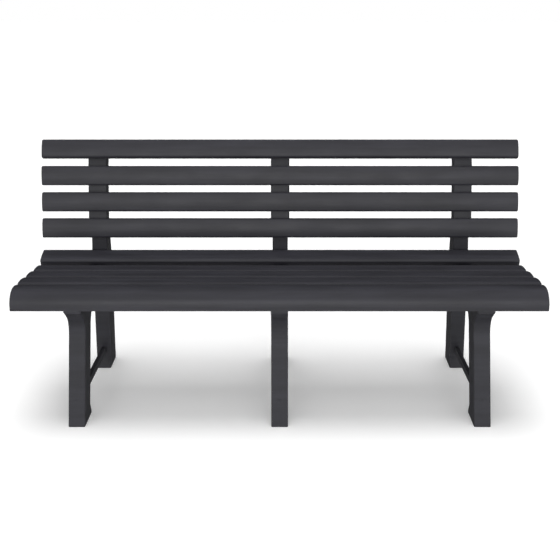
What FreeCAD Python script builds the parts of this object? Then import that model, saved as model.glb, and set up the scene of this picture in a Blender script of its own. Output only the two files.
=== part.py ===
import FreeCAD, Part
import math
import os

import Sketcher
from FreeCAD import Placement, Rotation, Vector

# A three-seat slatted garden bench in moulded resin. Millimetres. +X runs along the bench,
# +Z is up and the sitter faces -Y. The origin is on the floor, under the middle of the bench.

SIZES = {
    # whole bench
    "bench_length": 1455,
    "bench_depth": 493,
    "wall": 3.6,
    "rib": 3,
    "rib_count": 16,
    "ribs_per_pitch": 6,
    "end_round": 3,
    "screw_block": 24,
    # frames: where they stand, how far the side ones lean in, and the moulding's section
    "frame_pitch": 559,
    "frame_lean": 1.65,
    "lean_height": 375,
    "frame_width": 47,
    "frame_skin": 5,
    "frame_round": 4,
    # rests under the slats, and how far they run past them
    "rest_gap": 0.8,
    "rest_spare": 1,
    "seat_rest_lead": 2,
    "rear_rest_lead": 6,
    # the frame's nose inside the front slat, and the lip of the corbel below it
    "tab_start": 7,
    "tab_bevel": 13,
    "corbel_start": 2,
    "corbel_lip": 7,
    # feet
    "foot_depth": 91,
    "foot_start": 17,
    "foot_edge": 8,
    "foot_flare": 34,
    "sole_spare": 1.2,
    # front leg: the lines of its edges at floor level, raked back as they rise
    "front_leg_rake": 8,
    "front_leg_depth": 72,
    "corbel_level": 300,
    "corbel_round": 70,
    "gusset_round": 62,
    "rail_level_front": 322,
    # rear leg: raked forward as it rises
    "rear_leg_start": 417.5,
    "rear_leg_rake": 6,
    "rear_leg_depth": 74,
    "rear_bend_level": 330,
    "rear_bend_depth": 82,
    "rear_bend_round": 600,
    "rail_level_rear": 306,
    "upright_depth": 58,
    "upright_cap": 17,
    # channels in the legs and rail, cut past their open edges, and the ribs across them
    "channel_past_front": 5,
    "channel_past_rear": 10,
    "channel_past_rail": 24,
    "foot_rib": 12,
    "front_rib_pitch": 85,
    "rear_rib_pitch": 96,
    # stretcher between the legs
    "stretcher_width": 12,
    "stretcher_height": 21,
    "stretcher_level_front": 58,
    "stretcher_level_rear": 48,
    # seat line: through the underside of the foremost narrow slat, falling to the rear
    "seat_start": 116.5,
    "seat_level": 381.5,
    "seat_slope": 6,
    "seat_pitch": 79.5,
    "seat_slat_width": 70,
    "seat_slat_side": 11,
    "seat_slat_round": 9,
    "seat_slat_crown": 150,
    # rear seat slat, tilted up to the rear
    "rear_slat_start": 351,
    "rear_slat_level": 384,
    "rear_slat_tilt": 20,
    "rear_slat_width": 58,
    # front seat slat, a bullnose
    "nose_top": 408,
    "nose_round": 44,
    "nose_crown": 90,
    "nose_depth": 73,
    "nose_bottom": 353.3,
    "nose_rest": 378,
    "nose_lip": 35,
    "nose_screw": 50,
    "nose_block_start": 24,
    # back line: through the rear of the back slats, leaning back
    "back_start": 379.3,
    "back_level": 447,
    "back_lean": 10.5,
    "back_pitch": 80.3,
    "back_slat_width": 59,
    "back_slat_side": 10,
    "back_slat_round": 7,
    "back_slat_crown": 110,
    # top back slat
    "top_slat_lean": 20,
    "top_slat_width": 58,
    "top_slat_round": 10,
    "top_slat_rise": 37,
    "top_bend": 180,
    # back posts, which stand upright as seen from the front
    "post_pitch": 560.5,
    "post_width": 57,
    "post_depth": 36,
    "post_start": 4,
    "post_end": 8,
    "post_lift": 1,
    "post_bend": 204,
    "post_round": 5,
    "tenon_width": 36,
    "tenon_height": 66,
    "tenon_depth": 22,
    "tenon_gap": 0.4,
    "tenon_root": 10,
    # screws
    "screw_shank": 2.1,
    "screw_head": 4.6,
    "screw_head_height": 2.8,
    "screw_head_round": 1.6,
    "screw_length": 22,
    "screw_point": 4,
    "screw_end_gap": 1,
    "thread_gap": 0.05,
    "screw_clearance": 2.6,
    "screw_slack": 0.2,
    "post_screw_length": 38,
    "post_screw_spread": 12.5,
}


class Size:
    """A length or angle kept as a number and as a formula of the sheet's cells."""

    def __init__(self, value, formula):
        self.value = value
        self.formula = formula

    def __add__(self, other):
        other = as_size(other)
        return Size(self.value + other.value, f"({self.formula} + {other.formula})")

    def __sub__(self, other):
        other = as_size(other)
        return Size(self.value - other.value, f"({self.formula} - {other.formula})")

    def __mul__(self, other):
        other = as_size(other)
        return Size(self.value * other.value, f"({self.formula} * {other.formula})")

    def __truediv__(self, other):
        other = as_size(other)
        return Size(self.value / other.value, f"({self.formula} / {other.formula})")

    def __radd__(self, other):
        return as_size(other) + self

    def __rsub__(self, other):
        return as_size(other) - self

    def __rmul__(self, other):
        return as_size(other) * self

    def __neg__(self):
        return Size(-self.value, f"(0 - {self.formula})")


def as_size(item):
    """A plain number as a Size; a Size is left as it is."""
    if isinstance(item, Size):
        return item
    return Size(float(item), f"({float(item)})")


def cosine(angle):
    return Size(math.cos(math.radians(angle.value)), f"cos({angle.formula})")


def sine(angle):
    return Size(math.sin(math.radians(angle.value)), f"sin({angle.formula})")


def root(size):
    return Size(math.sqrt(size.value), f"sqrt({size.formula})")


def tangent(angle):
    return Size(math.tan(math.radians(angle.value)), f"tan({angle.formula})")


class Line:
    """A straight line in the side view, from a start point at an angle from +Y."""

    def __init__(self, start_y, start_z, along_y, along_z):
        self.start_y = start_y
        self.start_z = start_z
        self.along_y = along_y
        self.along_z = along_z

    def point(self, distance, offset=0):
        """The point so far along the line, and offset to the line's left."""
        y = self.start_y + distance * self.along_y - offset * self.along_z
        z = self.start_z + distance * self.along_z + offset * self.along_y
        return y, z


doc = FreeCAD.newDocument("GardenBench")
sheet = doc.addObject("Spreadsheet::Sheet", "Sizes")
for row, (alias, number) in enumerate(SIZES.items(), start=1):
    sheet.set(f"A{row}", str(number))
    sheet.setAlias(f"A{row}", alias)
doc.recompute()


def cell(alias):
    return Size(float(SIZES[alias]), f"Sizes.{alias}")


WALL = cell("wall")
SKIN = cell("frame_skin")
LENGTH = cell("bench_length")
PITCH = cell("frame_pitch")
FRONT = -cell("bench_depth") / 2
SIDES = {"left": -1, "centre": 0, "right": 1}

seat_line = Line(
    FRONT + cell("seat_start"),
    cell("seat_level"),
    cosine(cell("seat_slope")),
    -sine(cell("seat_slope")),
)
rear_slat_line = Line(
    FRONT + cell("rear_slat_start"),
    cell("rear_slat_level"),
    cosine(cell("rear_slat_tilt")),
    sine(cell("rear_slat_tilt")),
)
back_line = Line(
    FRONT + cell("back_start"),
    cell("back_level"),
    sine(cell("back_lean")),
    cosine(cell("back_lean")),
)
# The top slat leans further back than the others. Its line starts where the post's bend ends.
bend_angle = (cell("top_slat_lean") - cell("back_lean")) / 2
bend_chord = 2 * cell("top_bend") * sine(bend_angle)
bend_start = back_line.point(cell("post_bend"))
top_line = Line(
    bend_start[0] + bend_chord * sine(cell("back_lean") + bend_angle),
    bend_start[1] + bend_chord * cosine(cell("back_lean") + bend_angle),
    sine(cell("top_slat_lean")),
    cosine(cell("top_slat_lean")),
)


def frame_x(side, height):
    """Where a frame's middle stands at some height: the side frames lean in as they rise."""
    lean = tangent(cell("frame_lean"))
    return SIDES[side] * (PITCH - (height - cell("lean_height")) * lean)


def post_x(side):
    return SIDES[side] * cell("post_pitch")


# ---------------------------------------------------------------------------
# Sketches
# ---------------------------------------------------------------------------


def new_body(label):
    body = doc.addObject("PartDesign::Body", label)
    body.Label = label
    return body


def new_sketch(body, label, role, offset=None):
    """A sketch on one of the body's own origin planes, moved off it by offset."""
    plane = next(f for f in body.Origin.OriginFeatures if f.Role == role)
    sketch = body.newObject("Sketcher::SketchObject", label)
    sketch.AttachmentSupport = [(plane, "")]
    sketch.MapMode = "FlatFace"
    if offset is not None:
        sketch.AttachmentOffset = offset
    return sketch


def fix(sketch, kind, refs, size):
    """A dimension of the sketch, bound to the sheet."""
    index = sketch.addConstraint(Sketcher.Constraint(kind, *refs, size.value))
    sketch.setExpression(f"Constraints[{index}]", size.formula)


def place_point(sketch, geometry, end, across, up):
    """Fixes one end of a line or arc at its two distances from the origin."""
    for kind, size in (("DistanceX", as_size(across)), ("DistanceY", as_size(up))):
        if size.value < 0:
            fix(sketch, kind, (geometry, end, -1, 1), -size)
        else:
            fix(sketch, kind, (-1, 1, geometry, end), size)


def draw_outline(sketch, steps):
    """Draws a closed outline and fixes it. Each step is the point (across, up) it ends at. A
    third item is an arc's radius: positive where the outline turns left, negative where right."""
    ends = []
    for index, step in enumerate(steps):
        before = steps[index - 1]
        first = Vector(as_size(before[0]).value, as_size(before[1]).value, 0)
        last = Vector(as_size(step[0]).value, as_size(step[1]).value, 0)
        if len(step) == 2:
            number = sketch.addGeometry(Part.LineSegment(first, last), False)
            ends.append((number, 1, 2))
            continue
        radius = as_size(step[2])
        chord = last - first
        reach = math.sqrt(radius.value**2 - (chord.Length / 2) ** 2)
        left = Vector(-chord.y, chord.x, 0) / chord.Length
        turn = math.copysign(1, radius.value)
        centre = (first + last) / 2 + left * (reach * turn)
        start, stop = (first, last) if turn > 0 else (last, first)
        circle = Part.Circle(centre, Vector(0, 0, 1), abs(radius.value))
        arc = Part.ArcOfCircle(
            circle,
            math.atan2(start.y - centre.y, start.x - centre.x),
            math.atan2(stop.y - centre.y, stop.x - centre.x),
        )
        number = sketch.addGeometry(arc, False)
        ends.append((number, 1, 2) if turn > 0 else (number, 2, 1))
        fix(sketch, "Radius", (number,), radius if turn > 0 else -radius)
    for index, step in enumerate(steps):
        number, _, last_end = ends[index]
        following, first_end, _ = ends[(index + 1) % len(steps)]
        sketch.addConstraint(
            Sketcher.Constraint("Coincident", number, last_end, following, first_end)
        )
        place_point(sketch, number, last_end, step[0], step[1])


def draw_circle(sketch, across, up, radius):
    centre = Vector(as_size(across).value, as_size(up).value, 0)
    number = sketch.addGeometry(
        Part.Circle(centre, Vector(0, 0, 1), radius.value), False
    )
    place_point(sketch, number, 3, across, up)
    fix(sketch, "Radius", (number,), radius)


# ---------------------------------------------------------------------------
# Features
# ---------------------------------------------------------------------------


def pad(body, sketch, label, length):
    """Adds the sketch's outline, half the length to each side of its plane."""
    feature = body.newObject("PartDesign::Pad", label)
    feature.Profile = sketch
    feature.Midplane = True
    feature.setExpression("Length", length.formula)
    return feature


def pocket(body, sketch, label, length, one_way=None):
    """Cuts the sketch's outline: both ways from its plane, or one way, up or down its normal."""
    feature = body.newObject("PartDesign::Pocket", label)
    feature.Profile = sketch
    feature.Midplane = one_way is None
    feature.Reversed = one_way == "up"
    feature.setExpression("Length", length.formula)
    return feature


def round_edges(body, base, label, radius, half, chosen):
    """Rounds the base's edges on its two side faces, each half away, that pass a test."""
    doc.recompute()
    names = []
    for number, edge in enumerate(base.Shape.Edges, start=1):
        box = edge.BoundBox
        on_side = box.XLength < 0.01 and abs(abs(box.XMin) - half) < 0.01
        if on_side and chosen(edge.CenterOfMass, box):
            names.append(f"Edge{number}")
    feature = body.newObject("PartDesign::Fillet", label)
    feature.Base = (base, names)
    feature.setExpression("Radius", radius.formula)


def round_corner(body, base, label, corner, radius):
    """Rounds the base's edge that runs along X through a point of the side view."""
    doc.recompute()
    names = []
    for number, edge in enumerate(base.Shape.Edges, start=1):
        middle = edge.CenterOfMass
        miss = math.hypot(
            middle.y - as_size(corner[0]).value, middle.z - as_size(corner[1]).value
        )
        if miss < 0.01 and edge.BoundBox.XLength > 1:
            names.append(f"Edge{number}")
    feature = body.newObject("PartDesign::Fillet", label)
    feature.Base = (base, names)
    feature.setExpression("Radius", radius.formula)
    return feature


def shift_along_x(distance):
    """The attachment offset that moves a sketch on the YZ plane along X."""
    return Placement(Vector(0, 0, distance), Rotation())


def side_view_placement(point, turn):
    """A place at a point of the side view, turned about X."""
    return Placement(
        Vector(0, point[0].value, point[1].value), Rotation(Vector(1, 0, 0), turn)
    )


# ---------------------------------------------------------------------------
# Slats
# ---------------------------------------------------------------------------


def shoulder_point(crown_middle, crown, across, corner, inset):
    """Where a crown of one radius runs smoothly into a corner of another, the corner's middle
    being so far across from the crown's. Also gives the height of the corner's middle."""
    rise = root((crown - corner) * (crown - corner) - across * across)
    reach = (crown - inset) / (crown - corner)
    return reach * across, crown_middle + reach * rise, crown_middle + rise


def crowned_outline(width, side, corner, crown, inset=0):
    """A slat's section: flat underside on the X axis, upright sides, rounded shoulders and a
    crowned face. An inset gives the line of its inner wall."""
    half = width / 2
    across = half - corner
    crown_middle = side - root((crown - corner) * (crown - corner) - across * across)
    shoulder, rise, _ = shoulder_point(crown_middle, crown, across, corner, inset)
    return [
        (half - inset, 0),
        (half - inset, side),
        (shoulder, rise, corner - inset),
        (-shoulder, rise, crown - inset),
        (-half + inset, side, corner - inset),
        (-half + inset, 0),
    ]


def make_slat(label, outer, inner, web, block, blocks_x, screws, placement):
    """A moulded slat: a shell open underneath, with cross ribs and a screw block over each frame.
    The web is the ribs' outline, which runs a little way into the shell, as the block's does.
    The screws are given as their distances across the slat and the level of the block's face."""
    screws_across, block_level = screws
    body = new_body(label)
    section = new_sketch(body, f"{label}_section", "YZ_Plane")
    draw_outline(section, outer)
    bar = pad(body, section, f"{label}_bar", LENGTH)
    underside = min(as_size(step[1]).value for step in outer)
    round_edges(
        body,
        bar,
        f"{label}_ends",
        cell("end_round"),
        SIZES["bench_length"] / 2,
        lambda middle, box: box.ZMin > underside + 0.01 or box.ZLength > box.YLength,
    )
    hollow_section = new_sketch(body, f"{label}_hollow_section", "YZ_Plane")
    draw_outline(hollow_section, inner)
    pocket(body, hollow_section, f"{label}_hollow", LENGTH - 2 * WALL)

    rib_spacing = PITCH / cell("ribs_per_pitch")
    rib_run = (cell("rib_count") - 1) * rib_spacing
    first_rib = -rib_run / 2
    rib_section = new_sketch(
        body, f"{label}_rib_section", "YZ_Plane", shift_along_x(first_rib.value)
    )
    rib_section.setExpression("AttachmentOffset.Base.z", first_rib.formula)
    draw_outline(rib_section, web)
    rib = pad(body, rib_section, f"{label}_rib", cell("rib"))
    ribs = body.newObject("PartDesign::LinearPattern", f"{label}_ribs")
    ribs.Originals = [rib]
    x_axis = next(f for f in body.Origin.OriginFeatures if f.Role == "X_Axis")
    ribs.Direction = (x_axis, [""])
    ribs.setExpression("Occurrences", "Sizes.rib_count")
    ribs.setExpression("Length", rib_run.formula)
    body.Tip = ribs

    for side, x in blocks_x.items():
        block_section = new_sketch(
            body, f"{label}_block_section_{side}", "YZ_Plane", shift_along_x(x.value)
        )
        block_section.setExpression("AttachmentOffset.Base.z", x.formula)
        draw_outline(block_section, block)
        pad(body, block_section, f"{label}_block_{side}", cell("screw_block"))

    pilots = new_sketch(
        body,
        f"{label}_pilot_places",
        "XY_Plane",
        Placement(Vector(0, 0, block_level.value), Rotation()),
    )
    pilots.setExpression("AttachmentOffset.Base.z", block_level.formula)
    for x in blocks_x.values():
        for across in screws_across:
            draw_circle(pilots, x, across, cell("screw_shank"))
    depth = cell("screw_length") - SKIN
    body.Tip = pocket(body, pilots, f"{label}_pilots", depth, one_way="up")
    body.Placement = placement


def make_crowned_slat(label, sizes, blocks_x, placement, screws_across=(as_size(0),)):
    outer = crowned_outline(*sizes)
    inner = crowned_outline(*sizes, inset=WALL)
    web = crowned_outline(*sizes, inset=WALL / 2)
    screws = (screws_across, as_size(0))
    make_slat(label, outer, inner, web, web, blocks_x, screws, placement)


def make_seat_slats():
    sizes = [
        cell(f"seat_slat_{word}") for word in ("width", "side", "round", "crown")
    ]
    for number in range(3):
        point = seat_line.point(number * cell("seat_pitch"))
        blocks_x = {side: frame_x(side, point[1]) for side in SIDES}
        placement = side_view_placement(point, -SIZES["seat_slope"])
        make_crowned_slat(f"seat_slat_{number + 2}", sizes, blocks_x, placement)
    rear_sizes = [cell("rear_slat_width"), *sizes[1:]]
    point = rear_slat_line.point(0)
    blocks_x = {side: frame_x(side, point[1]) for side in SIDES}
    placement = side_view_placement(point, SIZES["rear_slat_tilt"])
    make_crowned_slat("seat_slat_rear", rear_sizes, blocks_x, placement)


def make_front_slat():
    """The bullnose slat: an upright front face that rolls over into the seat."""
    top = cell("nose_top")
    back = FRONT + cell("nose_depth")
    bottom = cell("nose_bottom")
    roll = cell("nose_round")
    crown = cell("nose_crown")
    corner = cell("seat_slat_round")
    across = cell("nose_depth") - corner - roll

    def outline(inset):
        shoulder, rise, corner_level = shoulder_point(
            top - crown, crown, across, corner, inset
        )
        rake = cell("nose_lip") * inset / cell("nose_depth")
        return [
            (FRONT + inset, bottom + rake),
            (back - inset, bottom + cell("nose_lip") - rake),
            (back - inset, corner_level),
            (FRONT + roll + shoulder, rise, corner - inset),
            (FRONT + roll, top - inset, crown - inset),
            (FRONT + inset, top - roll, roll - inset),
        ]

    # The screw block runs into the middle of the shell's wall all round, but for its front.
    rest = cell("nose_rest")
    web = outline(WALL / 2)
    bend = roll - WALL / 2
    before_roll = roll - cell("nose_block_start")
    block_start = FRONT + cell("nose_block_start")
    block_top = top - roll + root(bend * bend - before_roll * before_roll)
    block = [
        (block_start, rest),
        (back - WALL / 2, rest),
        *web[2:5],
        (block_start, block_top, bend),
    ]
    blocks_x = {side: frame_x(side, rest) for side in SIDES}
    make_slat(
        "seat_slat_front",
        outline(as_size(0)),
        outline(WALL),
        web,
        block,
        blocks_x,
        ([FRONT + cell("nose_screw")], rest),
        Placement(),
    )


def back_slat_places():
    """Each back slat's point on the back line, its turn about X and its section, bottom first."""
    sizes = [
        cell(f"back_slat_{word}") for word in ("width", "side", "round", "crown")
    ]
    turn = 90 - SIZES["back_lean"]
    places = []
    for number in range(3):
        middle = cell("back_slat_width") / 2 + number * cell("back_pitch")
        places.append((f"back_slat_{4 - number}", back_line.point(middle), turn, sizes))
    top_turn = 90 - SIZES["top_slat_lean"]
    top_sizes = [cell("top_slat_width"), sizes[1], cell("top_slat_round"), sizes[3]]
    point = top_line.point(cell("top_slat_rise"))
    places.append(("back_slat_top", point, top_turn, top_sizes))
    return places


def make_back_slats():
    """The back slats. The lowest is held by the longer screws that come through the tenon."""
    blocks_x = {side: post_x(side) for side in SIDES}
    spread = cell("post_screw_spread")
    for label, point, turn, sizes in back_slat_places():
        placement = side_view_placement(point, turn)
        across = [as_size(0)]
        if label == "back_slat_4":
            across = [-spread, spread]
        make_crowned_slat(label, sizes, blocks_x, placement, across)


# ---------------------------------------------------------------------------
# Leg frames
# ---------------------------------------------------------------------------


def front_leg_edge(height):
    """The front edge of the front leg at some height."""
    return FRONT + cell("foot_start") + height * tangent(cell("front_leg_rake"))


def rear_leg_edge(height):
    """The front edge of the rear leg at some height."""
    return FRONT + cell("rear_leg_start") - height * tangent(cell("rear_leg_rake"))


def leg_frame_outline():
    """The side view of a leg frame, from its front foot round by the rear foot and the upright,
    and the corners to round with their radii."""
    sole = -cell("sole_spare")
    edge = cell("foot_edge")
    flare = cell("foot_flare")
    gap = cell("rest_gap")
    spare = cell("rest_spare")
    seat_half = cell("seat_slat_width") / 2
    rear_half = cell("rear_slat_width") / 2
    foot_front = FRONT + cell("foot_start")
    foot_rear = -FRONT
    leg_depth = cell("front_leg_depth")
    rear_depth = cell("rear_leg_depth")
    rest = cell("nose_rest") - gap
    nose_bottom = cell("nose_bottom") - gap
    tab_front = FRONT + cell("tab_start")
    corbel_front = FRONT + cell("corbel_start")
    corbel = (front_leg_edge(cell("corbel_level")), cell("corbel_level"))
    front_gusset = (
        front_leg_edge(cell("rail_level_front")) + leg_depth,
        cell("rail_level_front"),
    )
    rear_gusset = (rear_leg_edge(cell("rail_level_rear")), cell("rail_level_rear"))
    rear_bend = (
        rear_leg_edge(cell("rear_bend_level")) + cell("rear_bend_depth"),
        cell("rear_bend_level"),
    )
    outline = [
        (foot_front, sole),
        (foot_front + cell("foot_depth"), sole),
        (foot_front + cell("foot_depth"), edge),
        (front_leg_edge(flare) + leg_depth, flare),
        front_gusset,
        rear_gusset,
        (rear_leg_edge(flare), flare),
        (foot_rear - cell("foot_depth"), edge),
        (foot_rear - cell("foot_depth"), sole),
        (foot_rear, sole),
        (foot_rear, edge),
        (rear_leg_edge(flare) + rear_depth, flare),
        rear_bend,
        back_line.point(cell("post_start"), -cell("upright_depth")),
        back_line.point(cell("post_start"), -gap),
        rear_slat_line.point(rear_half + spare, -gap),
        rear_slat_line.point(-rear_half - cell("rear_rest_lead"), -gap),
        seat_line.point(2 * cell("seat_pitch") + seat_half + spare, -gap),
        seat_line.point(-seat_half - cell("seat_rest_lead"), -gap),
        (FRONT + cell("nose_depth") + spare, rest),
        (tab_front + cell("tab_bevel"), rest),
        (tab_front, rest - cell("tab_bevel")),
        (tab_front, nose_bottom),
        (corbel_front, nose_bottom),
        (corbel_front, nose_bottom - cell("corbel_lip")),
        corbel,
    ]
    corners = [
        (front_gusset, cell("gusset_round")),
        (rear_gusset, cell("gusset_round")),
        (corbel, cell("corbel_round")),
        (rear_bend, cell("rear_bend_round")),
    ]
    return outline, corners


def cells_between_ribs(levels, front_wall, open_edge):
    """The hollow's cells up a leg, from the first level to the last with a rib at each one."""
    rib = cell("rib")
    return [
        [
            (front_wall(low) + SKIN, low + rib),
            (open_edge, low + rib),
            (open_edge, high),
            (front_wall(high) + SKIN, high),
        ]
        for low, high in zip(levels, levels[1:])
    ]


def leg_frame_hollows():
    """The channel inside a leg frame, open to the rear along the legs and below along the rail,
    as one outline for each cell between two ribs."""
    rib = cell("rib")
    pitch = cell("seat_pitch")
    under = cell("rail_level_rear") - cell("channel_past_rail")
    front_leg_rear = front_leg_edge(under) + cell("front_leg_depth")
    behind_front_leg = front_leg_rear + cell("channel_past_front")
    behind_rear_leg = -FRONT + cell("channel_past_rear")
    front_ribs = [cell("foot_rib") + number * cell("front_rib_pitch") for number in range(3)]
    rear_ribs = [cell("foot_rib") + number * cell("rear_rib_pitch") for number in range(4)]
    hollows = cells_between_ribs(front_ribs, front_leg_edge, behind_front_leg)
    hollows += cells_between_ribs(rear_ribs, rear_leg_edge, behind_rear_leg)

    # behind the corbel, up to the front slat's rest
    top = cell("nose_rest") - SKIN
    last_rib = front_ribs[-1]
    corbel = cell("corbel_level")
    corbel_end = seat_line.point(-pitch / 4)[0] - rib
    tab_inside = FRONT + cell("tab_start") + SKIN
    bevel = cell("tab_bevel") - SKIN / 2
    hollows.append(
        [
            (front_leg_edge(last_rib) + SKIN, last_rib + rib),
            (behind_front_leg, last_rib + rib),
            (behind_front_leg, under - rib),
            (corbel_end, under - rib),
            (corbel_end, top),
            (tab_inside + bevel, top),
            (tab_inside, top - bevel),
            (tab_inside, cell("nose_bottom") - cell("corbel_lip")),
            (front_leg_edge(corbel) + SKIN, corbel + SKIN / 2),
        ]
    )
    # along the rail, with ribs midway between the screws
    rail_end = 2 * pitch + cell("seat_slat_width") / 2 - SKIN
    bounds = [-pitch / 4, pitch / 2, 3 * pitch / 2, rail_end]
    for first, last in zip(bounds, bounds[1:]):
        start = seat_line.point(first + rib / 2, -SKIN)
        stop = seat_line.point(last - rib / 2, -SKIN)
        hollows.append([(start[0], under), (stop[0], under), stop, start])
    # under the rear slat, and up the upright
    start = rear_slat_line.point(-cell("rear_slat_width") / 2 + SKIN, -SKIN)
    stop = rear_slat_line.point(cell("rear_slat_width") / 4, -SKIN)
    hollows.append([(start[0], under), (stop[0], under), stop, start])
    last_rib = rear_ribs[-1]
    upright = rear_leg_edge(last_rib)
    upright_top = cell("back_level") - cell("upright_cap")
    hollows.append(
        [
            (upright, last_rib + rib),
            (behind_rear_leg, last_rib + rib),
            (behind_rear_leg, upright_top),
            (upright, upright_top),
        ]
    )
    return hollows


def seat_screw_points():
    """Where a leg frame's seat screws come up: a point and the screw's turn about X, front first."""
    points = [((FRONT + cell("nose_screw"), cell("nose_rest")), 0)]
    for number in range(3):
        points.append(
            (seat_line.point(number * cell("seat_pitch")), -SIZES["seat_slope"])
        )
    points.append((rear_slat_line.point(0), SIZES["rear_slat_tilt"]))
    return points


def tenon_screw_points():
    """Where the two screws behind the lowest back slat cross the back line."""
    middle = cell("back_slat_width") / 2
    spread = cell("post_screw_spread")
    return [back_line.point(middle - spread), back_line.point(middle + spread)]


def make_tenon(body, label):
    """The tongue on top of the upright that the back post slides over."""
    root_level = cell("post_start") - cell("tenon_root")
    tip_level = cell("post_start") + cell("tenon_height")
    front = SKIN + cell("tenon_gap")
    back = front + cell("tenon_depth")
    view = new_sketch(body, f"{label}_tenon_view", "YZ_Plane")
    draw_outline(
        view,
        [
            back_line.point(root_level, -front),
            back_line.point(root_level, -back),
            back_line.point(tip_level, -back),
            back_line.point(tip_level, -front),
        ],
    )
    pad(body, view, f"{label}_tenon", cell("tenon_width"))


def make_leg_frame(side):
    label = f"leg_frame_{side}"
    body = new_body(label)
    section = new_sketch(body, f"{label}_side_view", "YZ_Plane")
    outline, corners = leg_frame_outline()
    draw_outline(section, outline)
    blank = pad(body, section, f"{label}_blank", cell("frame_width"))
    for number, (corner, radius) in enumerate(corners, start=1):
        blank = round_corner(body, blank, f"{label}_corner_{number}", corner, radius)
    round_edges(
        body,
        blank,
        f"{label}_edges",
        cell("frame_round"),
        SIZES["frame_width"] / 2,
        lambda middle, box: is_open_edge(middle),
    )
    hollow_view = new_sketch(body, f"{label}_hollow_view", "YZ_Plane")
    for hollow in leg_frame_hollows():
        draw_outline(hollow_view, hollow)
    pocket(body, hollow_view, f"{label}_channel", cell("frame_width") - 2 * WALL)
    make_tenon(body, label)

    front_end = front_leg_edge(cell("stretcher_level_front")) + SKIN / 2
    rear_end = rear_leg_edge(cell("stretcher_level_rear")) + SKIN / 2
    stretcher_view = new_sketch(body, f"{label}_stretcher_view", "YZ_Plane")
    draw_outline(
        stretcher_view,
        [
            (front_end, cell("stretcher_level_front")),
            (rear_end, cell("stretcher_level_rear")),
            (rear_end, cell("stretcher_level_rear") + cell("stretcher_height")),
            (front_end, cell("stretcher_level_front") + cell("stretcher_height")),
        ],
    )
    pad(body, stretcher_view, f"{label}_stretcher", cell("stretcher_width"))

    for number, (point, turn) in enumerate(seat_screw_points(), start=1):
        hole = new_sketch(
            body,
            f"{label}_screw_place_{number}",
            "XY_Plane",
            side_view_placement(point, turn),
        )
        draw_circle(hole, 0, 0, cell("screw_clearance"))
        pocket(body, hole, f"{label}_screw_hole_{number}", 2 * SKIN, one_way="down")
    through_tenon = 2 * SKIN + cell("tenon_gap") + cell("tenon_depth")
    for number, point in enumerate(tenon_screw_points(), start=1):
        hole = new_sketch(
            body,
            f"{label}_tenon_screw_place_{number}",
            "XY_Plane",
            side_view_placement(point, 90 - SIZES["back_lean"]),
        )
        off_middle = post_x(side) - frame_x(side, point[1])
        draw_circle(hole, off_middle, 0, cell("screw_clearance"))
        pocket(
            body,
            hole,
            f"{label}_tenon_screw_hole_{number}",
            through_tenon,
            one_way="down",
        )
    body.Placement = leaning_placement(side)
    level_soles(body, label, side)


def leaning_placement(side):
    """Stands a frame at its place along the bench, leaning about the seat's height."""
    turn = Rotation(Vector(0, 1, 0), -SIDES[side] * SIZES["frame_lean"])
    pivot = Vector(0, 0, SIZES["lean_height"])
    foot = pivot - turn.multVec(pivot)
    return Placement(Vector(SIDES[side] * SIZES["frame_pitch"], 0, 0) + foot, turn)


def is_open_edge(middle):
    """True for a leg frame's edges that nothing covers: not the soles, nor the rail's top, which
    the seat slats cover, nor the corbel's lip."""
    above_sole = middle.z > 0
    below_lip = middle.z < SIZES["nose_bottom"] - 1.5 * SIZES["corbel_lip"]
    on_upright = middle.y > back_line.start_y.value - SIZES["post_start"]
    return above_sole and (below_lip or on_upright)


def level_soles(body, label, side):
    """Trims the soles level with the floor, which a side frame leans away from."""
    half = cell("frame_width") / 2 + cell("sole_spare")
    below = -2 * cell("sole_spare")
    lean = SIDES[side] * tangent(cell("frame_lean"))
    drop = cell("lean_height") / cosine(cell("frame_lean")) - cell("lean_height")
    if not SIDES[side]:
        drop = as_size(0)
    trim = new_sketch(body, f"{label}_sole_view", "XZ_Plane")
    draw_outline(
        trim,
        [
            (-half, below),
            (half, below),
            (half, -half * lean - drop),
            (-half, half * lean - drop),
        ],
    )
    body.Tip = pocket(body, trim, f"{label}_soles", 2 * cell("bench_depth"))


# ---------------------------------------------------------------------------
# Back posts
# ---------------------------------------------------------------------------


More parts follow.
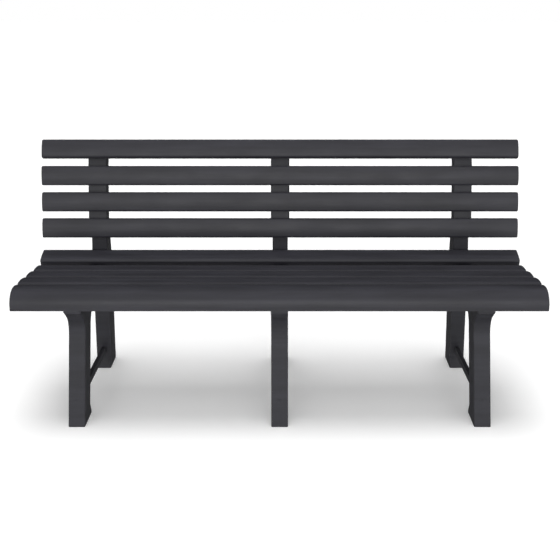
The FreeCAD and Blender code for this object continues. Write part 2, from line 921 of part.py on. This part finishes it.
def make_back_post(side):
    """A channel open to the rear that follows the back slats and sits over the frame's tenon."""
    label = f"back_post_{side}"
    body = new_body(label)
    depth = cell("post_depth")
    end = cell("top_slat_rise") + cell("top_slat_width") / 2 - cell("post_end")

    def outline(front_inset, back_depth, start, stop):
        return [
            back_line.point(start, -front_inset),
            back_line.point(start, -back_depth),
            back_line.point(cell("post_bend"), -back_depth),
            (*top_line.point(0, -back_depth), -(cell("top_bend") - back_depth)),
            top_line.point(stop, -back_depth),
            top_line.point(stop, -front_inset),
            top_line.point(0, -front_inset),
            (
                *back_line.point(cell("post_bend"), -front_inset),
                cell("top_bend") - front_inset,
            ),
        ]

    section = new_sketch(body, f"{label}_side_view", "YZ_Plane")
    start = cell("post_start") + cell("post_lift")
    draw_outline(section, outline(as_size(0), depth, start, end))
    blank = pad(body, section, f"{label}_blank", cell("post_width"))
    round_edges(
        body,
        blank,
        f"{label}_edges",
        cell("post_round"),
        SIZES["post_width"] / 2,
        lambda middle, box: middle.z > SIZES["back_level"] + 2 * SIZES["post_start"],
    )
    hollow_view = new_sketch(body, f"{label}_hollow_view", "YZ_Plane")
    draw_outline(
        hollow_view,
        outline(SKIN, 2 * depth, start - SKIN, end - SKIN),
    )
    pocket(body, hollow_view, f"{label}_channel", cell("post_width") - 2 * WALL)
    turn = 90 - SIZES["back_lean"]
    places = [(point, turn) for point in tenon_screw_points()]
    places += [(point, turn) for _, point, turn, _ in back_slat_places()[1:]]
    for number, (point, turn) in enumerate(places, start=1):
        hole = new_sketch(
            body,
            f"{label}_screw_place_{number}",
            "XY_Plane",
            side_view_placement(point, turn),
        )
        draw_circle(hole, 0, 0, cell("screw_clearance"))
        body.Tip = pocket(
            body, hole, f"{label}_screw_hole_{number}", 2 * SKIN, one_way="down"
        )
    body.Placement = Placement(Vector(post_x(side).value, 0, 0), Rotation())


# ---------------------------------------------------------------------------
# Screws
# ---------------------------------------------------------------------------


def make_screw(label, length):
    """One pan-head screw standing on its head's underside, point up, turned about Z."""
    body = new_body(label)
    view = new_sketch(body, f"{label}_side_view", "XZ_Plane")
    shank = cell("screw_shank") - cell("thread_gap")
    head = cell("screw_head")
    head_top = -cell("screw_head_height")
    shoulder = cell("screw_head_round")
    tip = length - cell("screw_end_gap")
    draw_outline(
        view,
        [
            (0, head_top),
            (head - shoulder, head_top),
            (head, head_top + shoulder, shoulder),
            (head, 0),
            (shank, 0),
            (shank, tip - cell("screw_point")),
            (0, tip),
        ],
    )
    turned = body.newObject("PartDesign::Revolution", f"{label}_turned")
    turned.Profile = view
    turned.ReferenceAxis = (view, ["V_Axis"])
    turned.Angle = 360
    return body


def group_screws(label, screw, places):
    """One node of separate screws, each a link to the one screw."""
    links = []
    for number, place in enumerate(places, start=1):
        link = doc.addObject("App::Link", f"{label}_{number}")
        link.LinkedObject = screw
        link.LinkPlacement = place
        links.append(link)
    group = doc.addObject("Part::Compound", label)
    group.Label = label
    group.Links = links
    return group


def screw_place(x, point, turn, grip):
    """A screw's place. Its head rests a little more than the grip under the surface that it comes
    up through."""
    place = side_view_placement(point, turn)
    place.Base.x = x.value
    sunk = Vector(0, 0, -grip.value - SIZES["screw_slack"])
    return place.multiply(Placement(sunk, Rotation()))


def make_screws():
    screw = make_screw("screw_pattern", cell("screw_length"))
    long_screw = make_screw("post_screw_pattern", cell("post_screw_length"))
    back_turn = 90 - SIZES["back_lean"]
    tenon_grip = SKIN + cell("tenon_gap") + cell("tenon_depth")
    for side in SIDES:
        seat_places = [
            screw_place(frame_x(side, point[1]), point, turn, SKIN)
            for point, turn in seat_screw_points()
        ]
        back_places = [
            screw_place(post_x(side), point, turn, SKIN)
            for _, point, turn, _ in back_slat_places()[1:]
        ]
        post_places = [
            screw_place(post_x(side), point, back_turn, tenon_grip)
            for point in tenon_screw_points()
        ]
        group_screws(f"seat_screws_{side}", screw, seat_places)
        group_screws(f"back_screws_{side}", screw, back_places)
        group_screws(f"post_screws_{side}", long_screw, post_places)


# ---------------------------------------------------------------------------
# Build, check and write
# ---------------------------------------------------------------------------


def check_document():
    """Stops if any object failed or any shape is null or invalid."""
    faults = []
    for item in doc.Objects:
        if "Invalid" in item.State or "Error" in item.State:
            faults.append(f"{item.Label}: {item.State}")
            continue
        shape = getattr(item, "Shape", None)
        if shape is None or item.isDerivedFrom("App::Link"):
            continue
        if item.isDerivedFrom("App::OriginFeature"):
            continue
        if shape.isNull() or not shape.isValid():
            faults.append(f"{item.Label}: bad shape")
    if faults:
        raise RuntimeError("; ".join(faults))


def export_nodes():
    os.makedirs("parts", exist_ok=True)
    nodes = [item for item in doc.Objects if item.isDerivedFrom("PartDesign::Body")]
    nodes = [item for item in nodes if not item.Label.endswith("_pattern")]
    nodes += [item for item in doc.Objects if item.isDerivedFrom("Part::Compound")]
    for item in nodes:
        item.Shape.exportStep(f"parts/{item.Label}.step")
        box = item.Shape.optimalBoundingBox()
        print(
            f"{item.Label}: {len(item.Shape.Solids)} solids, {item.Shape.Volume / 1000:.1f} cm3,"
            f" x {box.XMin:.1f} {box.XMax:.1f} y {box.YMin:.1f} {box.YMax:.1f}"
            f" z {box.ZMin:.1f} {box.ZMax:.1f}"
        )


make_front_slat()
make_seat_slats()
make_back_slats()
for frame_side in SIDES:
    make_leg_frame(frame_side)
    make_back_post(frame_side)
make_screws()
doc.recompute()
check_document()
export_nodes()
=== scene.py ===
import math

import bpy
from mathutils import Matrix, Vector

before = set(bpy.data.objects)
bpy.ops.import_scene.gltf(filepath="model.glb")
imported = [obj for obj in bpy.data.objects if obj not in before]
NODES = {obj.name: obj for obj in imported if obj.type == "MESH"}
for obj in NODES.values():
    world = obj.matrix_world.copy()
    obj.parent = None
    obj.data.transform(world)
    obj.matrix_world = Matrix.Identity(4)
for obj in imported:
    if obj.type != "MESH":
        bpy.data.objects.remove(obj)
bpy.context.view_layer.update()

# Metres, in the bench's own frame: +X along the bench, +Z up, a sitter faces -Y.
FLOOR_SIZE = 40.0
CAMERA_PLACE = (0.016, -2.5075, 1.245)
CAMERA_PITCH = math.radians(14)
# The lens and sensor are in millimetres, the shift in widths of the picture.
CAMERA_LENS = 57.5
CAMERA_SENSOR = 36
CAMERA_SHIFT = (-0.0095, -0.155)

# Lights: a wide one overhead for the shadow, and a low panel in front.
OVERHEAD_PLACE = (0, 0.1, 4)
OVERHEAD_ENERGY = 1.85
OVERHEAD_SPREAD = math.radians(34)
PANEL_PLACE = (0, -4.2, 1.2)
PANEL_TARGET = (0, 0, 0.5)
PANEL_WIDTH = 4.0
PANEL_HEIGHT = 0.8
PANEL_ENERGY = 35

# How bright the studio's walls are to the bench. To the camera they are all 1.
FRONT_WALL = 0.93
CEILING = 0.50
SIDE_WALL_FOOT = 0.60
SIDE_WALL_TOP = 0.20
# How much the floor glows, to the camera only.
FLOOR_GLOW = 0.23

# Linear colours: the resin is a charcoal grey with a trace of blue.
SLAT_DARK = (0.0185, 0.0182, 0.0232, 1)
SLAT_LIGHT = (0.0285, 0.0282, 0.0360, 1)
FRAME_DARK = (0.0185, 0.0185, 0.0236, 1)
FRAME_LIGHT = (0.0280, 0.0280, 0.0362, 1)
# The paler colour painted along the resin's edges as a soft highlight.
EDGE_HIGHLIGHT = (0.055, 0.055, 0.060, 1)
ZINC_DARK = (0.42, 0.42, 0.40, 1)
ZINC_LIGHT = (0.66, 0.65, 0.62, 1)
FLOOR_DARK = (0.86, 0.86, 0.86, 1)
FLOOR_LIGHT = (0.90, 0.90, 0.90, 1)
WHITE = (1, 1, 1, 1)

# Most of a noise's values lie between these.
NOISE_LOW = 0.3
NOISE_HIGH = 0.7


# ---------------------------------------------------------------------------
# Nodes
# ---------------------------------------------------------------------------


class Nodes:
    """The node tree of a new material or world, with short calls to add and join nodes."""

    def __init__(self, owner):
        owner.use_nodes = True
        self.owner = owner
        self.tree = owner.node_tree
        self.tree.nodes.clear()

    def add(self, kind, inputs=None, **settings):
        node = self.tree.nodes.new(kind)
        for key, value in settings.items():
            setattr(node, key, value)
        for key, value in (inputs or {}).items():
            self.feed(node.inputs[key], value)
        return node

    def feed(self, socket, value):
        """Links another node's output to a socket, or sets a plain value on it."""
        if isinstance(value, bpy.types.NodeSocket):
            self.tree.links.new(value, socket)
        else:
            socket.default_value = value

    def place(self, scale=(1, 1, 1)):
        """The point on the object, in metres. A larger scale makes a pattern finer that way."""
        point = self.add("ShaderNodeTexCoord").outputs["Object"]
        return self.add("ShaderNodeMapping", {"Vector": point, "Scale": scale}).outputs["Vector"]

    def noise(self, vector, scale, detail=3.0, roughness=0.5):
        inputs = {"Vector": vector, "Scale": scale, "Detail": detail, "Roughness": roughness}
        return self.add("ShaderNodeTexNoise", inputs).outputs["Fac"]

    def remap(self, value, low, high, new_low, new_high):
        inputs = {
            "Value": value,
            "From Min": low,
            "From Max": high,
            "To Min": new_low,
            "To Max": new_high,
        }
        return self.add("ShaderNodeMapRange", inputs).outputs["Result"]

    def spread(self, noise, low, high):
        """A noise stretched so that most of it runs from low to high, and clamped to them."""
        return self.remap(noise, NOISE_LOW, NOISE_HIGH, low, high)

    def math(self, operation, first, second):
        node = self.add("ShaderNodeMath", {0: first, 1: second}, operation=operation)
        return node.outputs["Value"]

    def mix(self, factor, first, second):
        """A blend of two colours."""
        node = self.add("ShaderNodeMix", data_type="RGBA")
        # A colour mix has its own sockets, after the ones for numbers and vectors.
        for index, value in ((0, factor), (6, first), (7, second)):
            self.feed(node.inputs[index], value)
        return node.outputs[2]

    def edge(self, radius, start, full):
        """1 along the sharp edges, falling to 0 on the flats: how far a rounded normal turns.
        start and full are the cosines of the turns where the mask starts and where it is full."""
        rounded = self.add("ShaderNodeBevel", {"Radius": radius}, samples=4).outputs["Normal"]
        flat = self.add("ShaderNodeNewGeometry").outputs["Normal"]
        turn = self.add("ShaderNodeVectorMath", {0: rounded, 1: flat}, operation="DOT_PRODUCT")
        return self.remap(turn.outputs["Value"], start, full, 0, 1)

    def bump(self, height, distance, strength, normal=None):
        inputs = {"Height": height, "Distance": distance, "Strength": strength}
        if normal is not None:
            inputs["Normal"] = normal
        return self.add("ShaderNodeBump", inputs).outputs["Normal"]

    def seen_by_camera(self):
        """1 for what the camera sees directly, 0 for what lights or reflects in something."""
        return self.add("ShaderNodeLightPath").outputs["Is Camera Ray"]

    def finish(self, **inputs):
        """Adds the principled shader with these inputs and gives the finished material."""
        values = {key.replace("_", " "): value for key, value in inputs.items()}
        shader = self.add("ShaderNodeBsdfPrincipled", values)
        self.add("ShaderNodeOutputMaterial", {"Surface": shader.outputs["BSDF"]})
        return self.owner


# ---------------------------------------------------------------------------
# Materials
# ---------------------------------------------------------------------------


def resin(name, dark, light, grain_scale, gloss):
    """Moulded resin: cloudy pigment drawn out along the bench, a fine eggshell grain, faint sink
    marks, a painted highlight that makes the edges a little paler in patches, and dust-dulled
    patches."""
    n = Nodes(bpy.data.materials.new(name))
    drawn = n.place(scale=(1, 7, 7))
    thin = n.place(scale=(1, 40, 40))
    even = n.place()

    cloud = n.noise(drawn, scale=5, detail=5)
    streak = n.noise(thin, scale=3)
    pigment = n.math("MULTIPLY", cloud, n.spread(streak, 0.8, 1.2))
    body = n.mix(n.spread(pigment, 0, 1), dark, light)
    patchy = n.remap(n.noise(even, scale=60), 0.35, 0.7, 0.1, 0.5)
    # Painted highlight: the edges are painted paler, in patches, where light would catch them.
    painted_edge_highlight = n.math("MULTIPLY", n.edge(radius=0.0025, start=0.96, full=0.75), patchy)
    tint = n.mix(painted_edge_highlight, body, EDGE_HIGHLIGHT)

    grain = n.noise(even, scale=grain_scale, detail=2, roughness=0.6)
    sink = n.noise(drawn, scale=9, detail=2)
    relief = n.bump(sink, distance=0.0015, strength=0.10)
    relief = n.bump(grain, distance=0.00025, strength=0.45, normal=relief)

    dust = n.noise(even, scale=14, detail=5)
    dull = n.spread(dust, gloss - 0.04, gloss + 0.06)
    roughness = n.math("ADD", dull, n.spread(grain, -0.03, 0.03))
    return n.finish(
        Base_Color=tint,
        Roughness=roughness,
        Normal=relief,
        Specular_IOR_Level=0.42,
        Sheen_Weight=0.03,
        Sheen_Roughness=0.5,
    )


def zinc(name):
    """Zinc-plated steel with faint spangles and fine scratches."""
    n = Nodes(bpy.data.materials.new(name))
    spangle = n.noise(n.place(), scale=700)
    scratch = n.noise(n.place(scale=(1, 9, 1)), scale=2500, detail=2)
    edge = n.edge(radius=0.0006, start=0.97, full=0.8)
    tint = n.mix(n.math("MAXIMUM", spangle, edge), ZINC_DARK, ZINC_LIGHT)
    return n.finish(
        Base_Color=tint,
        Metallic=1.0,
        Roughness=n.spread(spangle, 0.30, 0.46),
        Normal=n.bump(scratch, distance=0.00005, strength=0.3),
    )


def pale_floor(name):
    """A plain pale floor, very slightly mottled. It glows a little to the camera, which keeps its
    shadows pale without lighting the bench from below."""
    n = Nodes(bpy.data.materials.new(name))
    mottle = n.noise(n.place(), scale=3, detail=4)
    return n.finish(
        Base_Color=n.mix(mottle, FLOOR_DARK, FLOOR_LIGHT),
        Roughness=0.95,
        Specular_IOR_Level=0.1,
        Emission_Color=WHITE,
        Emission_Strength=n.math("MULTIPLY", n.seen_by_camera(), FLOOR_GLOW),
    )


def paint(material, names):
    for name in names:
        node = NODES[name]
        node.data.materials.clear()
        node.data.materials.append(material)


def paint_bench():
    screws = [name for name in NODES if "_screws_" in name]
    slats = [name for name in NODES if "_slat_" in name]
    frames = [name for name in NODES if name not in screws and name not in slats]
    paint(resin("slat_resin", SLAT_DARK, SLAT_LIGHT, grain_scale=1100, gloss=0.42), slats)
    paint(resin("frame_resin", FRAME_DARK, FRAME_LIGHT, grain_scale=800, gloss=0.48), frames)
    paint(zinc("screw_steel"), screws)


# ---------------------------------------------------------------------------
# Stage
# ---------------------------------------------------------------------------


def make_floor():
    """The floor. Reflections leave it out, so the bench mirrors the studio's walls in its place
    and the inner sides of the legs stay dark."""
    half = FLOOR_SIZE / 2
    mesh = bpy.data.meshes.new("floor")
    corners = [(-half, -half, 0), (half, -half, 0), (half, half, 0), (-half, half, 0)]
    mesh.from_pydata(corners, [], [(0, 1, 2, 3)])
    mesh.materials.append(pale_floor("pale_floor"))
    floor = bpy.data.objects.new("floor", mesh)
    floor.visible_glossy = False
    bpy.context.collection.objects.link(floor)


def aim(thing, place, target):
    """Puts a light at a place, pointing at a target."""
    thing.location = place
    way = Vector(target) - Vector(place)
    thing.rotation_euler = way.to_track_quat("-Z", "Y").to_euler()
    bpy.context.collection.objects.link(thing)


def make_overhead_light():
    """A wide soft light almost straight overhead, which casts the bench's shadow."""
    data = bpy.data.lights.new("overhead", "SUN")
    data.energy = OVERHEAD_ENERGY
    data.angle = OVERHEAD_SPREAD
    light = bpy.data.objects.new("overhead", data)
    light.visible_glossy = False
    aim(light, OVERHEAD_PLACE, (0, 0, 0))


def make_front_light():
    """A large low panel in front, which gives the upright faces their soft sheen."""
    data = bpy.data.lights.new("front_panel", "AREA")
    data.shape = "RECTANGLE"
    data.size = PANEL_WIDTH
    data.size_y = PANEL_HEIGHT
    data.energy = PANEL_ENERGY
    light = bpy.data.objects.new("front_panel", data)
    aim(light, PANEL_PLACE, PANEL_TARGET)


def make_world():
    """Studio walls, by the way a ray goes: bright in front of the bench, dimmer above and at the
    sides, dark straight behind it, and plain white to the camera."""
    world = bpy.data.worlds.new("studio")
    n = Nodes(world)
    way = n.add("ShaderNodeTexCoord").outputs["Generated"]
    split = n.add("ShaderNodeSeparateXYZ", {"Vector": way}).outputs
    # Each part of the way runs from -1 to 1: Y is -1 straight to the front, Z is 1 straight up.
    front = n.remap(split["Y"], -1.0, 0.0, FRONT_WALL, 0.0)
    above = n.remap(split["Z"], 0.5, 1.0, 0.0, CEILING)
    beside = n.remap(n.math("ABSOLUTE", split["X"], 0.0), 0.4, 0.8, 0.0, 1.0)
    side_wall = n.remap(split["Z"], -0.3, 0.2, SIDE_WALL_FOOT, SIDE_WALL_TOP)
    sides = n.math("MULTIPLY", beside, side_wall)
    wall = n.math("ADD", n.math("ADD", front, above), sides)
    level = n.remap(n.seen_by_camera(), 0.0, 1.0, wall, 1.0)
    back = n.add("ShaderNodeBackground", {"Color": WHITE, "Strength": level})
    n.add("ShaderNodeOutputWorld", {"Surface": back.outputs["Background"]})
    bpy.context.scene.world = world


def make_camera():
    data = bpy.data.cameras.new("camera")
    data.sensor_width = CAMERA_SENSOR
    data.lens = CAMERA_LENS
    data.shift_x, data.shift_y = CAMERA_SHIFT
    camera = bpy.data.objects.new("camera", data)
    camera.location = CAMERA_PLACE
    camera.rotation_euler = (math.pi / 2 - CAMERA_PITCH, 0, 0)
    bpy.context.collection.objects.link(camera)
    bpy.context.scene.camera = camera


paint_bench()
make_floor()
make_world()
make_overhead_light()
make_front_light()
make_camera()
bpy.context.scene.view_settings.view_transform = "Standard"
